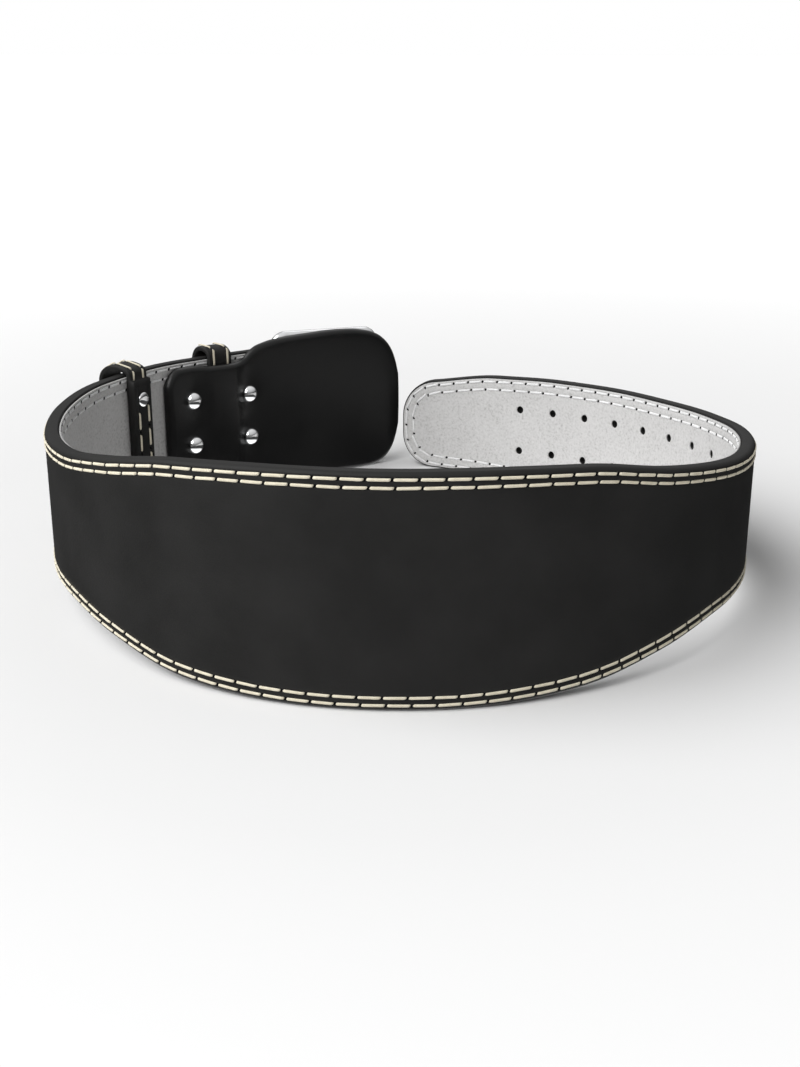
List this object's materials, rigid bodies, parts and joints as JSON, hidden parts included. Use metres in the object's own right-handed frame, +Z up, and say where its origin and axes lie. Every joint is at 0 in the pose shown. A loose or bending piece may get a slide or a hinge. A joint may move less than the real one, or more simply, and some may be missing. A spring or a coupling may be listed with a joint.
{
  "type": "weightlifting belt",
  "caption": "Padded leather weightlifting belt, open and standing on edge, wide at the back, with a suede lining, punched tongue and pronged roller buckle",
  "frame": {"origin": "on the surface it stands on, under the middle of its box", "axes": "+Z up, -Y out of the back panel, +Y towards the two open ends, +X towards the punched tongue's arm"},
  "size_m": [0.368, 0.4024, 0.108],
  "materials": {
    "leather": "matte",
    "guard_leather": "satin",
    "suede": "matte",
    "chrome": "polished"
  },
  "bodies": {
    "belt": {"belt_body": "leather", "lining": "suede", "buckle_guard": "guard_leather", "buckle_strap": "leather", "keeper_free": "leather", "keeper_fixed": "leather", "keeper_rivet": "chrome", "rivet_back_upper": "chrome", "rivet_back_lower": "chrome", "rivet_front_upper": "chrome", "rivet_front_lower": "chrome"},
    "buckle": {"buckle_frame": "chrome"},
    "roller": {"buckle_roller": "chrome"},
    "upper_prong": {"prong_upper": "chrome"},
    "lower_prong": {"prong_lower": "chrome"}
  },
  "joints": [
    {"name": "buckle_swing", "type": "hinge", "parent": "belt", "child": "buckle", "pos_m": [-0.09166, 0.14495, 0.04922], "axis": [0.0452, 0.0345, 0.9984], "range_deg": [0, 30]},
    {"name": "roller_spin", "type": "hinge", "parent": "buckle", "child": "roller", "pos_m": [-0.03094, 0.19128, 0.04487], "axis": [0.0452, 0.0345, 0.9984], "continuous": true},
    {"name": "upper_prong_swing", "type": "hinge", "parent": "buckle", "child": "upper_prong", "pos_m": [-0.09166, 0.14495, 0.04922], "axis": [0.0452, 0.0345, 0.9984], "range_deg": [0, 100]},
    {"name": "lower_prong_swing", "type": "hinge", "parent": "buckle", "child": "lower_prong", "pos_m": [-0.09166, 0.14495, 0.04922], "axis": [0.0452, 0.0345, 0.9984], "range_deg": [0, 100]}
  ]
}
